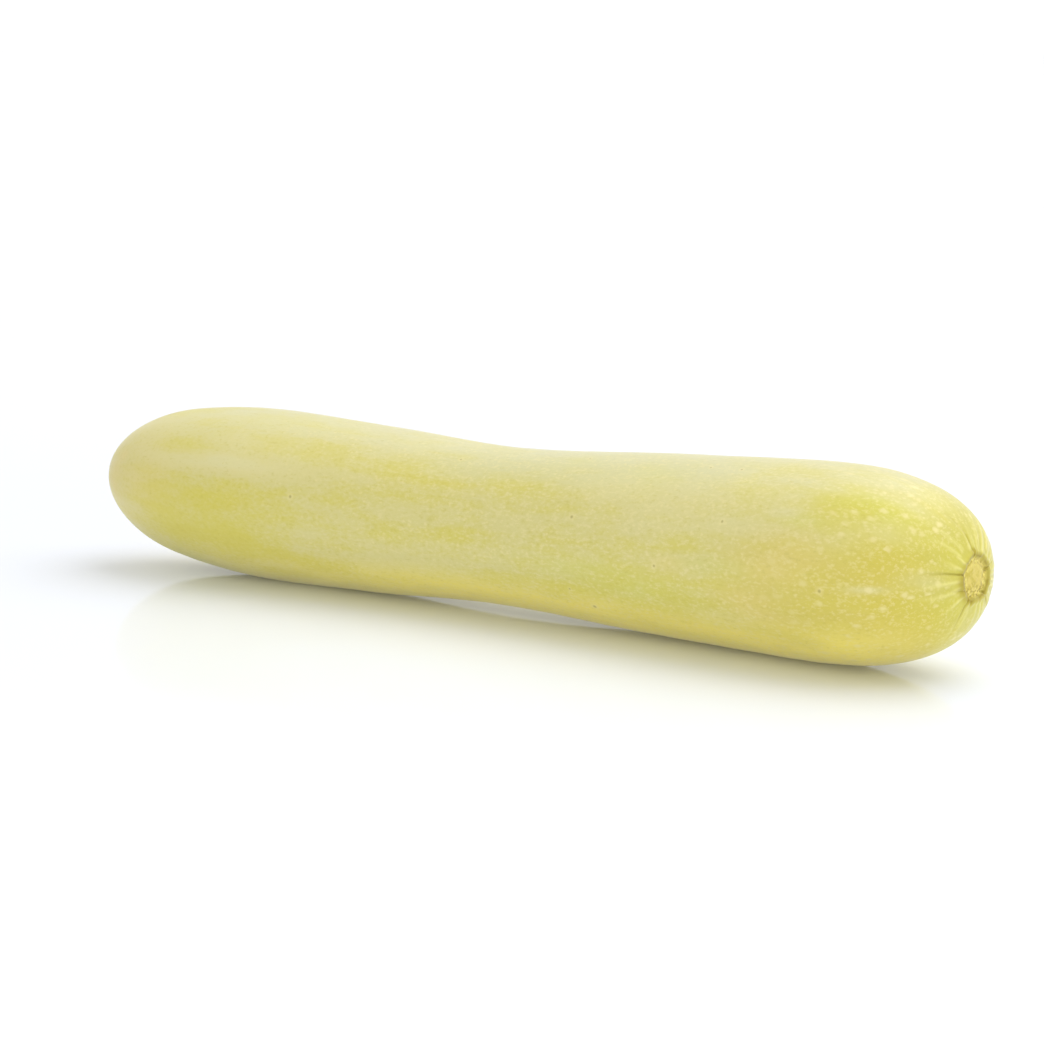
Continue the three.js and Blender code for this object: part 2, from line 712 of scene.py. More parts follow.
@dataclass(frozen=True)
class ToneMap:
    """Where each tone lies: a slow change over the fruit, then patches.

    Attributes:
        front: The patches on the front.
        back_patches: How many patches the back and the underside get.
        seed: Sets where those lie.
    """

    front: tuple[Blush, ...] = (
        *patches(Tone.RIPE, (18, 9, 8, 5, 0.6), (18, -30, 10, 10, 0.75), (36, -16, 9, 4, 0.3),
                 (16, 19, 4, 1.2, 0.45), (32, 62, 12, 5, 0.3), (24, 45, 7, 4, 0.3),
                 (95, -36, 22, 8, 0.4), (216, 9, 20, 4.5, 0.22), (226, -20, 26, 8, 0.45)),
        *patches(Tone.GREEN, (30, 50, 13, 4, 0.6), (8.5, 55, 2.5, 2.5, 0.3), (66, 2, 14, 2.4, 0.25),
                 (92, -22, 18, 5, 0.3), (45, 33, 7, 1.8, 0.4), (92, 58, 7, 2.6, 0.35),
                 (116, 72, 6, 2.6, 0.35), (16, 112, 6, 5, 0.4), (105, -12, 18, 3, 0.3)),
        *patches(Tone.CREAM, (41, 55, 4.5, 1.2, 0.5), (34, 26, 8, 4.5, 0.35), (212, 45, 30, 5, 0.6),
                 (54, 46, 9, 3, 0.5), (92, 47, 20, 4, 0.5), (66, -34, 10, 3.5, 0.3),
                 (11.5, 3, 6, 2.4, 0.8), (27, -4, 5.5, 0.9, 0.6), (222, 28, 22, 2.3, 0.9),
                 (62, 34, 18, 7, 0.3), (84, 26, 22, 6, 0.35), (24, 36, 7, 3, 0.3),
                 (50, 37, 5, 1.3, 0.5), (23, 62, 4, 1.6, 0.4), (254, 20, 12, 8, 0.25)),
        *patches(Tone.PEACH, (222, 28, 20, 2.3, 0.4), (250, 12, 12, 8, 0.4), (47, 14, 12, 6, 0.45),
                 (52, 2, 9, 2.6, 0.5), (60, -15, 9, 3, 0.45), (57, -25, 8, 2.6, 0.4),
                 (30, -50, 10, 6, 0.5), (81, 0, 6, 2.6, 0.4), (264, 5, 4, 7, 0.4),
                 (260, 28, 2.4, 1.6, 0.7)),
    )
    back_patches: int = 70
    seed: int = 12

    def blushes(self) -> list[Blush]:
        """All the patches, front and back.

        Returns:
            The patches.
        """
        rng = np.random.default_rng(self.seed)
        tones = [Tone.RIPE, Tone.GREEN, Tone.CREAM, Tone.PEACH]
        back = [
            Blush(
                tone=tones[int(rng.integers(len(tones)))],
                from_blossom=rng.uniform(8, 270),
                turn=rng.uniform(105, 300),
                length=rng.uniform(4, 20),
                width=rng.uniform(1.5, 6),
                strength=rng.uniform(0.2, 0.5),
            )
            for _ in range(self.back_patches)
        ]
        return [*self.front, *back]

    def paint(self, places: SkinPlaces) -> dict[Tone, np.ndarray]:
        """Works out how strong each tone is at each vertex.

        Args:
            places: Where the vertices are.

        Returns:
            The tones and their values at each vertex.
        """
        up = np.sin(places.turn)
        out, stem = places.from_blossom, places.from_stem
        # Painted sheen: the line above which the top is paled, where the light glances.
        painted_sheen_line = 0.72 + 0.16 * smooth(out, 65, 25) + 0.07 * smooth(out, 170, 200)
        tones = {
            Tone.RIPE: 0.22 + 0.5 * smooth(out, 66, 20) * smooth(out, -6, 20) + 0.12 * smooth(up, 0, -0.9),
            Tone.GREEN: 0.08 * smooth(out, 14, 6),
            Tone.CREAM: np.zeros_like(out),
            Tone.PEACH: 0.35 * smooth(stem, 45, 8),
            # Painted bounce light: the underside is brightened, away from both ends.
            Tone.BELLY: smooth(up, -0.35, -0.8) * smooth(stem, 30, 150) * smooth(out, 12, 40),
            Tone.OLIVE: 0.75 * smooth(out, 26, 5) * (0.6 + 0.4 * smooth(up, -0.7, 0))
            + 0.3 * smooth(up, 0.8, 0.97) * smooth(out, 50, 20),
            Tone.GOLD: 0.6 * smooth(up, 0.55, 0.1) * smooth(out, 10, 24) * smooth(out, 75, 50),
            # Painted shade: the upper shoulder of the middle is dulled and darkened.
            Tone.SAGE: 0.8 * smooth(up, 0.55, 0.85) * smooth(out, 58, 82) * smooth(out, 170, 130),
            # Painted sheen over the top.
            Tone.HAZE: 0.62 * smooth(up, painted_sheen_line - 0.12, 1.02) * smooth(out, 10, 34) * smooth(stem, 12, 60),
        }
        for blush in self.blushes():
            tones[blush.tone] = tones[blush.tone] + blush.mask(places)
        return tones


# ---- Shader nodes ----


class MathStep(Enum):
    """The sums that a shader's Math node does here."""

    ADD = "ADD"
    SUBTRACT = "SUBTRACT"
    MULTIPLY = "MULTIPLY"
    MINIMUM = "MINIMUM"
    MAXIMUM = "MAXIMUM"


class NodeDesk:
    """Adds nodes to one material and wires them."""

    def __init__(self, name: str) -> None:
        """Makes an empty material with a surface shader.

        Args:
            name: The material's name.
        """
        self.material = bpy.data.materials.new(name)
        self.material.use_nodes = True
        self.tree = self.material.node_tree
        self.tree.nodes.clear()
        output = self.tree.nodes.new("ShaderNodeOutputMaterial")
        self.surface = self.tree.nodes.new("ShaderNodeBsdfPrincipled")
        self.tree.links.new(self.surface.outputs["BSDF"], output.inputs["Surface"])

    def feed(self, target: Socket, value: object) -> None:
        """Links a socket to a target, or sets the target to a plain value.

        Args:
            target: The input to feed.
            value: The socket or plain value that it gets.
        """
        if isinstance(value, bpy.types.NodeSocket):
            self.tree.links.new(value, target)
        else:
            target.default_value = value

    def add(self, kind: str, inputs: dict[str | int, object], **settings: object) -> bpy.types.Node:
        """Adds one node.

        Args:
            kind: The node's type, without its ShaderNode prefix.
            inputs: A value or socket for each input, by name or number.
            settings: The node's properties by name.

        Returns:
            The new node.
        """
        node = self.tree.nodes.new("ShaderNode" + kind)
        for name, value in settings.items():
            setattr(node, name, value)
        for key, value in inputs.items():
            self.feed(node.inputs[key], value)
        return node

    def sum(self, step: MathStep, first: object, second: object) -> Socket:
        """One sum of two values or sockets."""
        return self.add("Math", {0: first, 1: second}, operation=step.value).outputs[0]

    def times(self, first: object, second: object) -> Socket:
        """The product of two values or sockets."""
        return self.sum(MathStep.MULTIPLY, first, second)

    def plus(self, first: object, second: object) -> Socket:
        """The total of two values or sockets."""
        return self.sum(MathStep.ADD, first, second)

    def minus(self, first: object, second: object) -> Socket:
        """The first value or socket less the second."""
        return self.sum(MathStep.SUBTRACT, first, second)

    def smaller(self, first: object, second: object) -> Socket:
        """The smaller of two values or sockets."""
        return self.sum(MathStep.MINIMUM, first, second)

    def larger(self, first: object, second: object) -> Socket:
        """The larger of two values or sockets."""
        return self.sum(MathStep.MAXIMUM, first, second)

    def flip(self, value: Socket) -> Socket:
        """One less the value."""
        return self.minus(1.0, value)

    def step(self, value: Socket, start: float, end: float, low: float = 0.0, high: float = 1.0) -> Socket:
        """A soft step of a socket.

        Args:
            value: The socket to read.
            start: Where the step begins.
            end: Where it ends. It may be lower than start.
            low: The result before the step.
            high: The result after it.

        Returns:
            The stepped socket.
        """
        if start > end:
            start, end, low, high = end, start, high, low
        inputs = {"Value": value, "From Min": start, "From Max": end, "To Min": low, "To Max": high}
        return self.add("MapRange", inputs, interpolation_type="SMOOTHSTEP").outputs["Result"]

    def mix(self, share: object, under: object, over: object) -> Socket:
        """A colour mixed over another.

        Args:
            share: How much of the upper colour shows, from 0 to 1.
            under: The colour below.
            over: The colour above.

        Returns:
            The mixed colour.
        """
        node = self.add("Mix", {}, data_type="RGBA", clamp_factor=True)
        self.feed(node.inputs[0], share)
        self.feed(node.inputs[6], under)
        self.feed(node.inputs[7], over)
        return node.outputs[2]

    def stretch(self, place: Socket, size: tuple[float, float, float]) -> Socket:
        """A place measured in units of a size, so that a pattern takes that size."""
        shares = tuple(1 / side for side in size)
        return self.add("VectorMath", {0: place, 1: shares}, operation="MULTIPLY").outputs[0]

    def noise(self, place: Socket, size: tuple[float, float, float], detail: float = 2.0,
              roughness: float = 0.5) -> Socket:
        """Cloudy noise whose lumps have a size.

        Args:
            place: Where to read it.
            size: About how big a lump is, along each axis.
            detail: How many finer layers it has.
            roughness: How strong the finer layers are.

        Returns:
            The noise, from 0 to 1, mostly near a half.
        """
        inputs = {"Vector": self.stretch(place, size), "Scale": 1.0, "Detail": detail, "Roughness": roughness}
        return self.add("TexNoise", inputs, noise_dimensions="3D").outputs[0]

    def cells(self, place: Socket, size: tuple[float, float, float]) -> tuple[Socket, Socket]:
        """Scattered dots.

        Args:
            place: Where to read them.
            size: About how far apart they are, along each axis.

        Returns:
            The distance to the nearest dot, and that dot's own random number.
        """
        node = self.add("TexVoronoi", {"Vector": self.stretch(place, size), "Scale": 1.0})
        dice = self.add("SeparateColor", {0: node.outputs["Color"]})
        return node.outputs["Distance"], dice.outputs[0]

    def wobble(self, place: Socket, size: tuple[float, float, float], reach: float) -> Socket:
        """A place pushed about by noise, so that a pattern read there gets ragged edges.

        Args:
            place: The place to push.
            size: About how big the ragged steps are, along each axis.
            reach: How far it is pushed.

        Returns:
            The pushed place.
        """
        inputs = {"Vector": self.stretch(place, size), "Scale": 1.0, "Detail": 1.0}
        noise = self.add("TexNoise", inputs, noise_dimensions="3D").outputs["Color"]
        centred = self.add("VectorMath", {0: noise, 1: (0.5, 0.5, 0.5)}, operation="SUBTRACT").outputs[0]
        push = self.add("VectorMath", {0: centred, "Scale": reach}, operation="SCALE").outputs[0]
        return self.add("VectorMath", {0: place, 1: push}, operation="ADD").outputs[0]

    def attribute(self, name: str, vector: bool = False) -> Socket:
        """A value that the mesh carries, by its name."""
        node = self.add("Attribute", {}, attribute_name=name)
        return node.outputs["Vector" if vector else "Fac"]


# ---- The skin's finish ----


@dataclass(frozen=True)
class Speck:
    """A tiny corky mark on the skin.

    Attributes:
        from_blossom: Its distance from the blossom pole.
        turn: Its angle round the fruit, in degrees.
        radius: Its radius.
    """

    from_blossom: float
    turn: float
    radius: float = 0.45


@dataclass(frozen=True)
class SkinFinish:
    """The waxy skin: pale yellow, riper at the blossom end, with cream flecks and scars.

    Attributes:
        pale: The body where it is least ripe.
        ripe: The body where it is ripe.
        deep: The body where it is ripest.
        green: The greener patches.
        cream: The cream patches.
        peach: The warm patches.
        painted_bounce_light: Painted bounce light: the underside, brightened and made more yellow as if lit
            from the table.
        olive: The dull skin next to the blossom scar.
        painted_top_sheen: Painted sheen: the pale top, where the light glances, painted as a cool cream
            reflection of the bright room.
        gold: The warmer flank by the blossom.
        sage: Painted shade: a cooler, duller shoulder of the middle, darkened where the light from above is
            strongest.
        fleck: The flecks, and the halo round each speck.
        shade: The hollows of the fine mottling.
        furrow: The skin between the pleats.
        crease: Painted shade in the bottom of the main folds.
        ridge: Painted highlight along the top of the fine pleats.
        cork: The floor of the scars.
        cork_pale: The crumbs on it.
        cork_olive: The blotches on it.
        cork_dark: The pits in it.
        outline: The dried line round the scars.
        scorch: The border beyond that line.
        speck: The corky specks.
        specks: Where the specks are.
        girth: The radius on which the skin is unrolled.
        crowding: How many more flecks there are where they crowd, as a share.
        roughness: The least and the greatest roughness of the skin.
        cork_roughness: How much rougher the scars are.
        ior: The bend of light in the waxy surface.
        sheen: The strength of the soft bloom.
        sheen_roughness: The roughness of the bloom.
        depth_share: The share of the light that passes through the skin.
        depth: How far that light travels under it, in metres.
        depth_tint: How far it travels in red, green and blue, as shares.
        bump_strength: The share of the fine bump that shows.
        bump_height: The height of the fine bump, in metres.
    """

    pale: Colour = colour(216, 207, 137)
    ripe: Colour = colour(213, 202, 90)
    deep: Colour = colour(210, 196, 72)
    green: Colour = colour(208, 206, 94)
    cream: Colour = colour(221, 213, 154)
    peach: Colour = colour(225, 206, 120)
    # Painted bounce light for the underside.
    painted_bounce_light: Colour = colour(240, 224, 109)
    olive: Colour = colour(197, 188, 86)
    # Painted sheen for the top.
    painted_top_sheen: Colour = colour(212, 208, 162)
    gold: Colour = colour(211, 194, 88)
    # Painted shade for the upper shoulder.
    sage: Colour = colour(206, 201, 138)
    fleck: Colour = colour(234, 222, 160)
    shade: Colour = colour(190, 178, 84)
    furrow: Colour = colour(201, 193, 66)
    # Painted shade for the bottom of the folds.
    crease: Colour = colour(180, 168, 54)
    # Painted highlight for the top of the pleats.
    ridge: Colour = colour(231, 223, 138)
    cork: Colour = colour(214, 196, 100)
    cork_pale: Colour = colour(234, 222, 124)
    cork_olive: Colour = colour(196, 178, 68)
    cork_dark: Colour = colour(160, 138, 48)
    outline: Colour = colour(158, 140, 36)
    scorch: Colour = colour(180, 165, 58)
    speck: Colour = colour(162, 146, 68)
    specks: tuple[Speck, ...] = (
        Speck(109.8, 22), Speck(84.5, -2.5, 0.36), Speck(106, -41, 0.55), Speck(111.5, -28, 0.3),
        Speck(66.5, 27.5, 0.36), Speck(69, 67, 0.34), Speck(77.8, 67.5, 0.28), Speck(114, 73.5, 0.3),
        Speck(38.3, -6, 0.44), Speck(150, 60, 0.35), Speck(196, 12), Speck(92, 140, 0.4),
        Speck(133, 205, 0.5), Speck(58, 170, 0.3), Speck(176, 150, 0.36), Speck(215, 235, 0.32),
        Speck(47, 250, 0.45), Speck(160, 290, 0.36),
    )
    girth: float = 22.0
    crowding: float = 0.55
    roughness: tuple[float, float] = (0.4, 0.5)
    cork_roughness: float = 0.3
    ior: float = 1.45
    sheen: float = 0.3
    sheen_roughness: float = 0.4
    depth_share: float = 0.2
    depth: float = 3 * MM
    depth_tint: tuple[float, float, float] = (1.0, 0.85, 0.35)
    bump_strength: float = 0.5
    bump_height: float = 0.12 * MM

    def overs(self) -> tuple[tuple[Tone, Colour], ...]:
        """The tones that lie over the body colour, in order, with their colours."""
        names = (Tone.GOLD, Tone.SAGE, Tone.PEACH, Tone.GREEN, Tone.CREAM, Tone.BELLY, Tone.OLIVE, Tone.HAZE)
        return tuple((tone, getattr(self, tone.value)) for tone in names)

    def material(self) -> bpy.types.Material:
        """Builds the skin's material, which reads the mesh's own attributes.

        Returns:
            The material.
        """
        painter = SkinPainter(self)
        painter.paint()
        painter.shine()
        return painter.material


class SkinPainter(NodeDesk):
    """Wires the skin's material from its finish, layer by layer."""

    def __init__(self, finish: SkinFinish) -> None:
        """Reads the places and the noises that several layers share.

        Args:
            finish: The skin's colours and marks.
        """
        super().__init__("cucumber_skin")
        self.finish = finish
        self.place = self.attribute("straight", vector=True)
        parts = self.add("SeparateXYZ", {0: self.place})
        self.out, self.height = parts.outputs["X"], parts.outputs["Z"]
        around = self.add("CombineXYZ", {"Y": parts.outputs["Y"], "Z": self.height}).outputs[0]
        facing = self.add("VectorMath", {0: around}, operation="NORMALIZE").outputs[0]
        rolled = self.add("VectorMath", {0: facing, "Scale": finish.girth}, operation="SCALE").outputs[0]
        lengthwise = self.add("CombineXYZ", {"X": self.out}).outputs[0]
        self.unrolled = self.add("VectorMath", {0: rolled, 1: lengthwise}, operation="ADD").outputs[0]
        self.rows = self.noise(self.unrolled, (28, 4.4, 4.4), detail=2)
        self.grain = self.noise(self.place, (1.5, 0.75, 0.75), detail=3, roughness=0.65)

    def paint(self) -> None:
        """Lays the colours over one another."""
        skin = self.mix(self._flecks(), self._body(), self.finish.fleck)
        skin = self._pleats(self._specks(skin))
        self.feed(self.surface.inputs["Base Color"], self._cork(skin))

    def _body(self) -> Socket:
        """The soft colour under the flecks.

        Returns:
            The colour.
        """
        finish = self.finish
        bands = self.noise(self.unrolled, (60, 6, 6), detail=1)
        clouds = self.noise(self.unrolled, (17, 5.5, 5.5), detail=2, roughness=0.55)
        drift = self.plus(self.step(bands, 0.3, 0.7, -0.2, 0.2), self.step(clouds, 0.3, 0.7, -0.2, 0.2))
        drift = self.plus(drift, self.step(self.grain, 0.3, 0.7, 0.16, -0.16))
        ripeness = self.plus(self.attribute(Tone.RIPE.value), drift)
        skin = self.mix(self.step(ripeness, -0.1, 0.9), finish.pale, finish.ripe)
        skin = self.mix(self.step(ripeness, 0.85, 1.4), skin, finish.deep)
        uneven = self.step(clouds, 0.3, 0.7, 1.25, 0.75)
        for tone, over in finish.overs():
            skin = self.mix(self.times(self.attribute(tone.value), uneven), skin, over)
        return self.mix(self.step(self.grain, 0.44, 0.28, 0.0, 0.26), skin, finish.shade)

    def _flecks(self) -> Socket:
        """Cream flecks: distinct near the blossom, a fine mottle over the body, few by the stem.

        Returns:
            How strong the flecks are, from 0 to 1.
        """
        out = self.out
        ragged = self.wobble(self.place, (1.0, 0.7, 0.7), 0.8)
        cream = self.times(self.attribute(Tone.CREAM.value), 0.3)
        crowd = self.plus(self.step(self.rows, 0.44, 0.62), cream)
        small = self._dots(ragged, (1.6, 1.05, 1.05), crowd, 0.85)
        large = self._dots(ragged, (3.9, 2.3, 2.3), crowd, 0.8)
        small = self.times(small, self.step(out, 110.0, 40.0, 0.44, 0.4))
        small = self.times(small, self.step(out, 255.0, 150.0, 0.2, 1.0))
        large = self.times(large, self.step(out, 62.0, 28.0, 0.14, 0.62))
        large = self.times(large, self.step(out, 210.0, 130.0))
        mottle = self.times(self.step(self.grain, 0.5, 0.68), self.step(out, 235.0, 120.0, 0.06, 0.38))
        total = self.larger(self.larger(small, large), mottle)
        return self.times(total, self.step(out, 5.5, 9.0))

    def _dots(self, place: Socket, size: tuple[float, float, float], crowd: Socket, alone: float) -> Socket:
        """Scattered dots, more of them where they crowd.

        Args:
            place: Where to read them.
            size: About how far apart they are, along each axis.
            crowd: Where they crowd, from 0 to 1.
            alone: The share of dots left out where none crowd.

        Returns:
            The dots, from 0 to 1.
        """
        distance, dice = self.cells(place, size)
        left_out = self.minus(alone, self.times(crowd, self.finish.crowding))
        chosen = self.step(self.minus(dice, left_out), 0.0, 0.12)
        return self.times(chosen, self.step(distance, 0.46, 0.12))

    def _specks(self, skin: Socket) -> Socket:
        """Adds the few corky specks, each in a pale halo.

        Args:
            skin: The colour so far.

        Returns:
            The colour with the specks.
        """
        girth = self.finish.girth
        nearest: Socket | None = None
        for speck in self.finish.specks:
            turn = math.radians(speck.turn)
            spot = (speck.from_blossom, -girth * math.cos(turn), girth * math.sin(turn))
            gap = self.add("VectorMath", {0: self.unrolled, 1: spot}, operation="DISTANCE").outputs["Value"]
            gap = self.times(gap, 1 / speck.radius)
            nearest = gap if nearest is None else self.smaller(nearest, gap)
        skin = self.mix(self.step(nearest, 3.4, 1.2, 0.0, 0.3), skin, self.finish.fleck)
        return self.mix(self.step(nearest, 1.3, 0.3, 0.0, 0.6), skin, self.finish.speck)

    def _pleats(self, skin: Socket) -> Socket:
        """Colours the drawn-in skin round the scars: bright furrows, then a painted highlight on the pleats
        and painted shade in the folds.

        Args:
            skin: The colour so far.

        Returns:
            The colour with the pleats.
        """
        finish = self.finish
        furrows = self.times(self.attribute("pucker"), self.flip(self.attribute("ridge")))
        skin = self.mix(self.times(furrows, 0.5), skin, finish.furrow)
        # Painted highlight on the pleats.
        skin = self.mix(self.times(self.attribute("ridge"), 0.95), skin, finish.ridge)
        # Painted shade in the folds.
        skin = self.mix(self.times(self.attribute("fold"), 0.7), skin, finish.crease)
        return self.mix(self.times(self.attribute("scorch"), 0.95), skin, finish.scorch)

    def _cork(self, skin: Socket) -> Socket:
        """Colours the two scars, with blotches, pale crumbs, dark pits and a dried outline.

        Args:
            skin: The colour so far.

        Returns:
            The colour with the scars.
        """
        finish = self.finish
        low = self.step(self.height, 1.0, -3.0)
        rind = self.flip(self.attribute("core"))
        broad = self.noise(self.place, (2.0, 2.0, 2.0), detail=1)
        fine = self.noise(self.place, (0.8, 0.8, 0.8), detail=2)
        blotches = self.step(self.plus(broad, self.times(low, 0.1)), 0.46, 0.64)
        cork = self.mix(self.times(blotches, 0.85), finish.cork, finish.cork_olive)
        crumbs = self.times(self.step(fine, 0.54, 0.63), self.plus(self.times(rind, 0.75), 0.15))
        cork = self.mix(crumbs, cork, finish.cork_pale)
        pits = self.step(self.minus(fine, self.times(low, 0.06)), 0.45, 0.35)
        pits = self.times(pits, self.plus(self.times(rind, 0.6), self.times(low, 0.3)))
        cork = self.mix(pits, cork, finish.cork_dark)
        skin = self.mix(self.attribute("pan"), skin, cork)
        broken = self.step(broad, 0.35, 0.6, 0.55, 1.0)
        return self.mix(self.times(self.attribute("outline"), broken), skin, finish.outline)

    def shine(self) -> None:
        """Sets the gloss, the bloom, the light under the skin and the fine bump."""
        finish, inputs = self.finish, self.surface.inputs
        pan = self.attribute("pan")
        uneven = self.step(self.rows, 0.3, 0.7, *finish.roughness)
        self.feed(inputs["Roughness"], self.plus(uneven, self.times(pan, finish.cork_roughness)))
        inputs["IOR"].default_value = finish.ior
        inputs["Sheen Weight"].default_value = finish.sheen
        inputs["Sheen Roughness"].default_value = finish.sheen_roughness
        inputs["Subsurface Weight"].default_value = finish.depth_share
        inputs["Subsurface Radius"].default_value = finish.depth_tint
        inputs["Subsurface Scale"].default_value = finish.depth
        pores = self.noise(self.place, (1.1, 0.7, 0.7), detail=2, roughness=0.6)
        wrinkles = self.noise(self.unrolled, (8, 1.1, 1.1), detail=1)
        cork = self.times(self.noise(self.place, (0.5, 0.5, 0.5), detail=1), pan)
        height = self.plus(self.times(pores, 0.3), self.times(wrinkles, 0.4))
        height = self.plus(height, self.times(cork, 2.0))
        settings = {"Strength": finish.bump_strength, "Distance": finish.bump_height, "Height": height}
        self.feed(inputs["Normal"], self.add("Bump", settings).outputs["Normal"])


# ---- The fruit ----


@dataclass
class Cucumber:
    """The whole fruit.

    Attributes:
        form: Its driving sizes.
        finish: Its skin.
        tones: Where the skin's tones lie.
        blossom_scar: The scar that faces the front, where the blossom dropped off.
        stem_scar: The scar where the stem broke away.
        sides: How many points an extruded ring has.
        carpels: How many joined parts the fruit grew from.
        carpel_swell: How far their lobes, and the hollows between them, lie from the round.
        carpel_phase: The turn of the first, in radians.
        ribs: How many soft ribs run along it.
        rib_depth: How far the skin sinks between them.
        rib_twist: How far they turn on each millimetre of the way, in radians.
        uneven_height: The height of the wide lumps on the body.
        uneven_grain: Their size.
        dimple_height: The height of the small lumps.
        dimple_grain: Their size.
        first_ring: How far the first and the last ring are from the poles.
        blossom_step: The space between rings near the blossom scar.
        stem_step: The space between rings near the stem scar.
        body_step: The widest space between rings.
        step_growth: How much the space grows on each millimetre beyond a scar's zone.
        blossom_zone: How far the close rings reach from the blossom pole.
        stem_zone: How far they reach from the stem pole.
        pole_disc: The radius of the small flat disc at each pole.
        rest_flat: How deep the flats are on which it rests.
        fill: The most that it fills of its node's length, as a share.
    """

    form: FruitForm = field(default_factory=FruitForm)
    finish: SkinFinish = field(default_factory=SkinFinish)
    tones: ToneMap = field(default_factory=ToneMap)
    blossom_scar: Scar = Scar(
        end=End.BLOSSOM,
        radii=(4.1, 4.2, 4.4, 4.8, 5.0, 5.0, 5.0, 5.0, 4.8, 4.6, 4.9, 4.3),
        creases=(
            Crease(turn=18, reach=17, depth=0.36, sway=-0.61, corner=0.2, stain=1.5),
            Crease(turn=93, reach=20, depth=0.22, sway=-1.0),
            Crease(turn=88, reach=8, depth=0.4, corner=0.2, stain=2.1),
            Crease(turn=160, reach=13, depth=0.35, sway=0.4, corner=0.3),
            Crease(turn=229, reach=14, depth=0.4, sway=-0.4, corner=0.3),
            Crease(turn=306, reach=16, depth=0.33, sway=-1.2),
            Crease(turn=287, reach=9, depth=0.3, corner=0.4, stain=0.9),
            Crease(turn=312, reach=11, depth=0.2, sway=4.2),
        ),
        pleats=48, pleat_reach=14, seed=5, weathered=-14,
        lip_height=0.3, pleat_height=0.28, fold_depth=0.5, pan_depth=0.55, cork_grain=1.6)
    stem_scar: Scar = Scar(
        end=End.STEM,
        radii=(3.3, 3.4, 3.2, 3.4, 3.2, 3.3, 3.4, 3.2, 3.3),
        creases=(
            Crease(turn=40, reach=8, depth=0.35, corner=0.2),
            Crease(turn=115, reach=7, depth=0.3, corner=0.3),
            Crease(turn=190, reach=8, depth=0.35, corner=0.2),
            Crease(turn=262, reach=7, depth=0.3, corner=0.3),
            Crease(turn=330, reach=8, depth=0.3, corner=0.1),
        ),
        pleats=19, pleat_reach=8, seed=9, weathered=140,
        lip_height=0.15, pleat_height=0.18, fold_depth=0.4, pan_depth=0.4, cork_grain=1.0)
    sides: int = 64
    carpels: int = 3
    carpel_swell: float = 0.2
    carpel_phase: float = 0.5
    ribs: int = 10
    rib_depth: float = 0.12
    rib_twist: float = 0.0025
    uneven_height: float = 0.5
    uneven_grain: float = 38
    dimple_height: float = 0.14
    dimple_grain: float = 9
    first_ring: float = 0.4
    blossom_step: float = 0.85
    stem_step: float = 0.95
    body_step: float = 5.2
    step_growth: float = 0.16
    blossom_zone: float = 14.0
    stem_zone: float = 5.5
    pole_disc: float = 0.6
    rest_flat: float = 0.25
    fill: float = 0.9998

    def build(self) -> bpy.types.Object:
        """Models, bends, settles and dresses the fruit.

        Returns:
            The finished piece.
        """
        self.ruler = SkinRuler(self.form)
        piece = self._extrude_rings()
        apply_modifier(piece, "SUBSURF", levels=2, render_levels=2)
        self._flatten_poles(piece)
        places = self._places(piece)
        self._carry(piece, places)
        self._unroll(piece, places)
        for relief in self._reliefs():
            relief.apply(piece, places)
        self._bend(piece)
        self._settle(piece)
        pick(piece)
        bpy.ops.object.shade_smooth()
        piece.data.materials.append(self.finish.material())
        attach(piece, BODY)
        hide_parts(NODE)
        return piece

    def _ring_distances(self) -> list[float]:
        """The rings' distances from the blossom pole: close at the scars, wide on the body.

        Returns:
            The distances, along the skin.
        """
        whole = self.ruler.skin_length
        distances = []
        out = self.first_ring
        while out < whole - self.first_ring:
            distances.append(out)
            near_blossom = self.blossom_step + self.step_growth * max(0.0, out - self.blossom_zone)
            near_stem = self.stem_step + self.step_growth * max(0.0, whole - out - self.stem_zone)
            out += min(near_blossom, near_stem, self.body_step)
        return [*distances, whole - self.first_ring]

    def _ring_radius(self, radius: float) -> float:
        """A ring's radius before the carpels swell it, which only adds to it."""
        return radius - self.carpel_swell * (radius / self.form.radii[1]) ** 3

    def _extrude_rings(self) -> bpy.types.Object:
        """Extrudes the straight fruit ring by ring, and closes both poles.

        Returns:
            The straight fruit, with the middle line on the X axis and the stem at 0.
        """
        rings = [self.ruler.ring(out) for out in reversed(self._ring_distances())]
        along, radius = rings[0][0], self._ring_radius(rings[0][1])
        deselect_all()
        bpy.ops.mesh.primitive_circle_add(
            vertices=self.sides, radius=radius * MM,
            location=(along * MM, 0, 0), rotation=(0, math.pi / 2, 0))
        piece = bpy.context.object
        piece.name = piece.data.name = "cucumber_whole"
        bpy.ops.object.transform_apply(location=True, rotation=True, scale=True)
        with editing(piece):
            bpy.ops.mesh.select_all(action="SELECT")
            for next_along, full_radius in rings[1:]:
                next_radius = self._ring_radius(full_radius)
                shift = ((next_along - along) * MM, 0, 0)
                bpy.ops.mesh.extrude_region_move(TRANSFORM_OT_translate={"value": shift})
                grow = next_radius / radius
                bpy.ops.transform.resize(value=(1, grow, grow), center_override=(next_along * MM, 0, 0))
                along, radius = next_along, next_radius
            bpy.ops.mesh.edge_face_add()
            bpy.ops.mesh.poke()
            past_stem_ring = (rings[0][0] + rings[1][0]) / 2 * MM
            select_points(piece, lambda points: points[:, 0] < past_stem_ring)
            bpy.ops.mesh.edge_face_add()
            bpy.ops.mesh.poke()
            bpy.ops.mesh.select_all(action="SELECT")
            bpy.ops.mesh.normals_make_consistent(inside=False)
        return piece

    def _near_pole(self, points: np.ndarray, pole: float) -> np.ndarray:
        """Which points lie on the small disc round one pole, whose x is given."""
        on_axis = np.hypot(points[:, 1], points[:, 2]) < self.pole_disc * MM
        return on_axis & (abs(points[:, 0] - pole) < self.ruler.length * MM / 2)

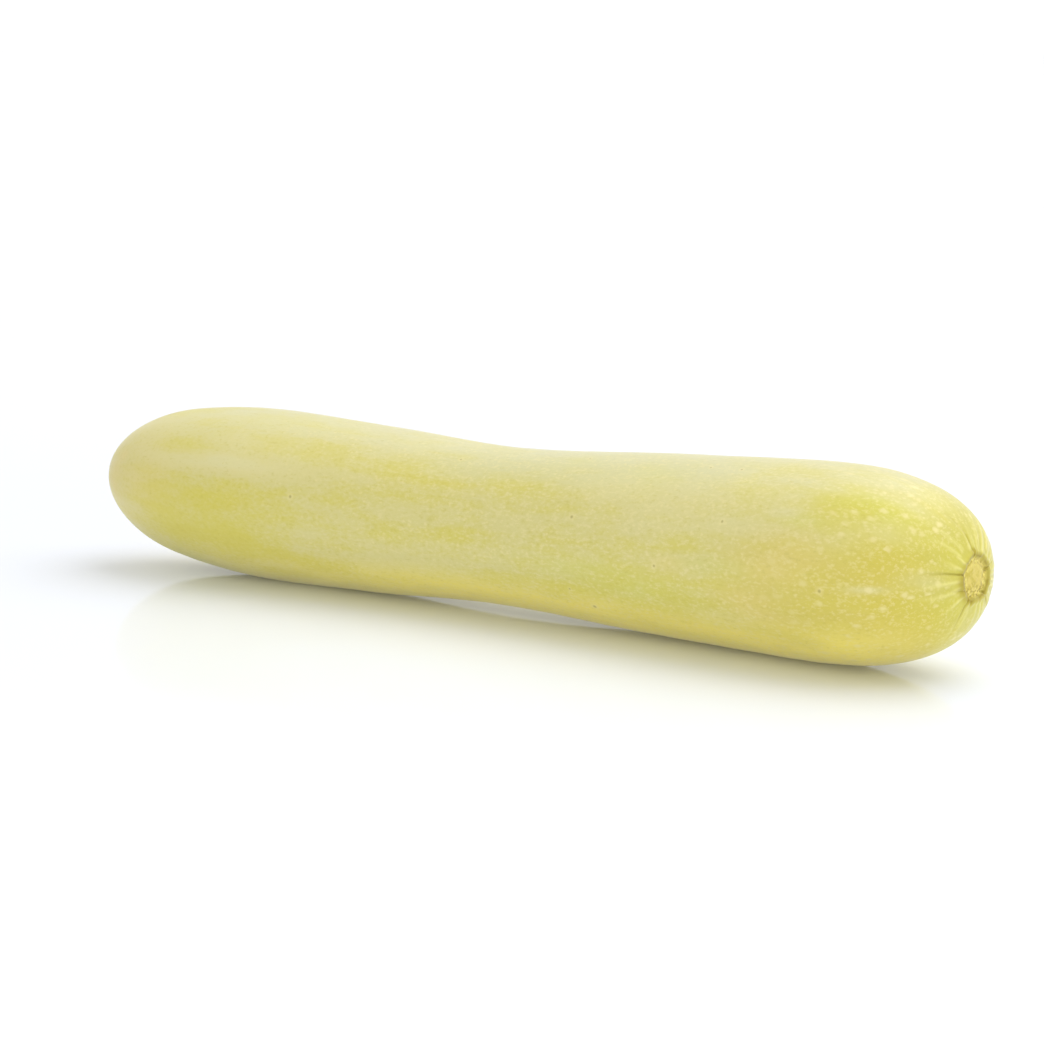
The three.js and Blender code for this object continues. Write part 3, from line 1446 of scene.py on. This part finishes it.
    def _flatten_poles(self, piece: bpy.types.Object) -> None:
        """Flattens a small disc at each pole, where the ring of points meets.

        Args:
            piece: The straight fruit.
        """
        with editing(piece):
            for pole in (0.0, self.ruler.length * MM):
                select_points(piece, partial(self._near_pole, pole=pole))
                bpy.ops.transform.resize(value=(0, 1, 1), center_override=(pole, 0, 0))

    def _unroll(self, piece: bpy.types.Object, places: SkinPlaces) -> None:
        """Gives the mesh a map of its unrolled skin, whose seam lies underneath.

        Args:
            piece: The straight fruit.
            places: Where its vertices are.
        """
        mesh = piece.data
        vertex = np.empty(len(mesh.loops), dtype=int)
        mesh.loops.foreach_get("vertex_index", vertex)
        first = np.empty(len(mesh.polygons), dtype=int)
        count = np.empty(len(mesh.polygons), dtype=int)
        mesh.polygons.foreach_get("loop_start", first)
        mesh.polygons.foreach_get("loop_total", count)
        face = np.repeat(np.arange(len(first)), count)
        u = 1 - places.from_blossom[vertex] / self.ruler.skin_length
        v = (places.turn[vertex] / (2 * math.pi) + 0.25) % 1
        at_pole = places.radius[vertex] < 1e-3

        def reach(values: np.ndarray) -> tuple[np.ndarray, np.ndarray]:
            """The lowest and the highest value in each corner's face, leaving out the poles."""
            low = np.minimum.reduceat(np.where(at_pole, np.inf, values), first)
            return low[face], np.maximum.reduceat(np.where(at_pole, -np.inf, values), first)[face]

        low, high = reach(v)
        v = np.where((high - low > 0.5) & (v < 0.5), v + 1, v)
        low, high = reach(v)
        v = np.where(at_pole, (low + high) / 2, v)
        margin = 0.01
        layer = mesh.uv_layers.new(name="OFBake")
        spread = margin + (1 - 2 * margin) * np.stack([u, v], axis=-1)
        layer.data.foreach_set("uv", spread.astype(np.float32).ravel())

    def _places(self, piece: bpy.types.Object) -> SkinPlaces:
        """Reads where the straight fruit's vertices lie on the skin.

        Args:
            piece: The straight fruit.

        Returns:
            Their places.
        """
        x, y, z = points_of(piece).T / MM
        radius = np.hypot(y, z)
        from_blossom = self.ruler.from_blossom(x, radius)
        return SkinPlaces(np.arctan2(z, -y), radius, from_blossom, self.ruler.skin_length - from_blossom)

    def _carry(self, piece: bpy.types.Object, places: SkinPlaces) -> None:
        """Gives the mesh the places and scars that its material reads.

        Args:
            piece: The straight fruit.
            places: Where the vertices are.
        """
        points = points_of(piece) / MM
        straight = np.stack([places.from_blossom, points[:, 1], points[:, 2]], axis=-1)
        carried = piece.data.attributes.new("straight", "FLOAT_VECTOR", "POINT")
        carried.data.foreach_set("vector", straight.astype(np.float32).ravel())
        blossom, stem = self.blossom_scar.masks(places), self.stem_scar.masks(places)
        values = {name: blossom[name] + stem[name] for name in blossom}
        values |= {tone.value: value for tone, value in self.tones.paint(places).items()}
        for name, value in values.items():
            carried = piece.data.attributes.new(name, "FLOAT", "POINT")
            carried.data.foreach_set("value", np.clip(value, 0, 1.5).astype(np.float32))

    def _reliefs(self) -> list[Relief]:
        """The passes that shape the skin, in order.

        Returns:
            The passes.
        """
        full = self.form.radii[1]

        def carpels(places: SkinPlaces) -> np.ndarray:
            """The three soft lobes of the section."""
            lobes = 0.5 + 0.5 * np.cos(self.carpels * (places.turn - self.carpel_phase))
            return (places.radius / full) ** 3 * lobes

        def ribs(places: SkinPlaces) -> np.ndarray:
            """Faint lengthwise ribs that run out before the tips."""
            wave = 0.5 + 0.5 * np.cos(self.ribs * (places.turn + self.rib_twist * places.from_blossom))
            return wave * smooth(places.from_blossom, 12, 60) * smooth(places.from_stem, 8, 50)

        def body(places: SkinPlaces) -> np.ndarray:
            """All but the two ends."""
            return smooth(places.from_blossom, 6, 40) * smooth(places.from_stem, 6, 40)

        passes = [
            Relief("carpels", 2 * self.carpel_swell, carpels),
            Relief("ribs", -self.rib_depth, ribs),
            Relief("uneven", self.uneven_height, body, grain=self.uneven_grain),
            Relief("dimples", self.dimple_height, body, grain=self.dimple_grain),
        ]
        return passes + self.blossom_scar.reliefs() + self.stem_scar.reliefs()

    def _bend(self, piece: bpy.types.Object) -> None:
        """Bends the straight fruit along its bowed and sagging middle line.

        Args:
            piece: The straight fruit.
        """
        line = bpy.data.curves.new("middle_line", "CURVE")
        line.dimensions = "3D"
        line.twist_mode = "Z_UP"
        steps = 240
        middle = self.form.middle(np.linspace(0, 1, steps + 1)) * MM
        spline = line.splines.new("POLY")
        spline.points.add(steps)
        spline.points.foreach_set("co", np.column_stack([middle, np.ones(steps + 1)]).ravel())
        guide = bpy.data.objects.new("middle_line", line)
        bpy.context.scene.collection.objects.link(guide)
        apply_modifier(piece, "CURVE", object=guide, deform_axis="POS_X")
        bpy.data.objects.remove(guide)

    def _settle(self, piece: bpy.types.Object) -> None:
        """Moves the fruit over its node's place, and lets it settle flat where it rests.

        Args:
            piece: The bent fruit.
        """
        low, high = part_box(NODE)
        points = points_of(piece)
        middle = (points.min(0) + points.max(0)) / 2
        with editing(piece):
            bpy.ops.mesh.select_all(action="SELECT")
            fit = min(1.0, self.fill * (high.x - low.x) / np.ptp(points[:, 0]))
            bpy.ops.transform.resize(value=(fit, 1, 1), center_override=tuple(middle))
        piece.location = (
            (low.x + high.x) / 2 - middle[0],
            (low.y + high.y) / 2 - middle[1],
            low.z - points[:, 2].min() - self.rest_flat * MM,
        )
        pick(piece)
        bpy.ops.object.transform_apply(location=True, rotation=False, scale=False)
        with editing(piece):
            select_points(piece, lambda points: points[:, 2] < low.z)
            bpy.ops.transform.resize(value=(1, 1, 0), center_override=(0, 0, low.z))


# ---- The studio ----


@dataclass(frozen=True)
class TableFinish:
    """The smooth white table top, which glows a little, as a light table does.

    Attributes:
        white: Its colour.
        roughness: The roughness of its polish.
        ior: The bend of light in its polish.
        glow: How strongly it glows.
        glow_tint: The colour of the glow.
    """

    white: Colour = colour(241, 245, 254)
    roughness: float = 0.08
    ior: float = 1.33
    glow: float = 0.04
    glow_tint: Colour = colour(255, 253, 240)

    def material(self) -> bpy.types.Material:
        """Builds the table top's material.

        Returns:
            The material.
        """
        desk = NodeDesk("white_table")
        inputs = desk.surface.inputs
        inputs["Base Color"].default_value = self.white
        inputs["Roughness"].default_value = self.roughness
        inputs["IOR"].default_value = self.ior
        inputs["Emission Color"].default_value = self.glow_tint
        inputs["Emission Strength"].default_value = self.glow
        return desk.material


@dataclass(frozen=True)
class SoftLight:
    """A softbox that faces the fruit.

    Attributes:
        name: Its name.
        place: Where it stands, in metres.
        size: Its width and height, in metres.
        power: Its power in watts.
    """

    name: str
    place: tuple[float, float, float]
    size: tuple[float, float]
    power: float

    def build(self, target: Vector) -> bpy.types.Object:
        """Hangs the light and turns it to the target.

        Args:
            target: The point it faces.

        Returns:
            The light.
        """
        deselect_all()
        bpy.ops.object.light_add(type="AREA", location=self.place)
        lamp = bpy.context.object
        lamp.name = self.name
        lamp.data.shape = "RECTANGLE"
        lamp.data.size, lamp.data.size_y = self.size
        lamp.data.energy = self.power
        lamp.rotation_euler = (target - Vector(self.place)).to_track_quat("-Z", "Y").to_euler()
        return lamp


@dataclass
class Studio:
    """The white table, the bright room, the softboxes and the camera.

    Attributes:
        aim: The point the camera looks at, in metres.
        distance: How far the camera stands from it.
        azimuth: The camera's turn round the fruit, in degrees: 0 looks along +Y.
        elevation: The camera's height over the horizon, in degrees.
        lens: The lens's focal length, in millimetres.
        sensor: The sensor's width, in millimetres.
        far_end: The farthest that the camera sees, in metres.
        table_half: Half the table's side, in metres.
        room_light: The strength of the room's even light.
        horizon_light: Its strength along the horizon.
        horizon_rise: The heights between which one turns into the other, where straight up is 1.
        lights: The softboxes.
    """

    aim: tuple[float, float, float] = (0.0, 0.0047, 0.0221)
    distance: float = 0.6889
    azimuth: float = 36.41
    elevation: float = 9.85
    lens: float = 96.55
    sensor: float = 36.0
    far_end: float = 50.0
    table_half: float = 20.0
    room_light: float = 0.7
    horizon_light: float = 1.12
    horizon_rise: tuple[float, float] = (0.04, 0.2)
    lights: tuple[SoftLight, ...] = (
        SoftLight("softbox_over", (0.25, 0.4, 1.0), (1.6, 1.0), 10.1),
        SoftLight("softbox_front", (0.9, -0.9, 0.21), (1.2, 0.4), 3.25),
        SoftLight("softbox_side", (0.95, 0.7, 0.3), (0.8, 0.5), 0.6),
    )

    def build(self) -> None:
        """Sets the whole studio up."""
        self._table()
        self._room()
        for light in self.lights:
            light.build(Vector(self.aim))
        self._camera()

    def _table(self) -> None:
        """Lays the table top under the fruit."""
        deselect_all()
        bpy.ops.mesh.primitive_plane_add(size=2 * self.table_half)
        table = bpy.context.object
        table.name = "table_top"
        table.data.materials.append(TableFinish().material())

    def _room(self) -> None:
        """Fills the room with even white light, a little brighter along the horizon."""
        world = bpy.data.worlds.new("white_room")
        world.use_nodes = True
        nodes, links = world.node_tree.nodes, world.node_tree.links
        background = nodes["Background"]
        background.inputs["Color"].default_value = (1, 1, 1, 1)
        facing = nodes.new("ShaderNodeTexCoord")
        height = nodes.new("ShaderNodeSeparateXYZ")
        rise = nodes.new("ShaderNodeMapRange")
        rise.interpolation_type = "SMOOTHSTEP"
        rise.inputs["From Min"].default_value, rise.inputs["From Max"].default_value = self.horizon_rise
        rise.inputs["To Min"].default_value = self.horizon_light
        rise.inputs["To Max"].default_value = self.room_light
        links.new(facing.outputs["Generated"], height.inputs[0])
        links.new(height.outputs["Z"], rise.inputs["Value"])
        links.new(rise.outputs["Result"], background.inputs["Strength"])
        bpy.context.scene.world = world
        bpy.context.scene.view_settings.view_transform = "Standard"

    def _camera(self) -> None:
        """Stands the camera at its place."""
        turn, rise = math.radians(self.azimuth), math.radians(self.elevation)
        back = Vector((math.sin(turn) * math.cos(rise), -math.cos(turn) * math.cos(rise), math.sin(rise)))
        aim = Vector(self.aim)
        deselect_all()
        bpy.ops.object.camera_add(location=aim + back * self.distance)
        camera = bpy.context.object
        camera.rotation_euler = (-back).to_track_quat("-Z", "Y").to_euler()
        camera.data.lens = self.lens
        camera.data.sensor_width = self.sensor
        camera.data.clip_end = self.far_end
        bpy.context.scene.camera = camera


# ---- The whole scene ----


def main() -> None:
    """Builds the fruit and the studio in order."""
    logging.basicConfig(level=logging.INFO, format="%(name)s: %(message)s")
    piece = Cucumber().build()
    LOG.info("%s: %d vertices, %d faces", piece.name, len(piece.data.vertices), len(piece.data.polygons))
    Studio().build()


if __name__ == "__main__":
    main()
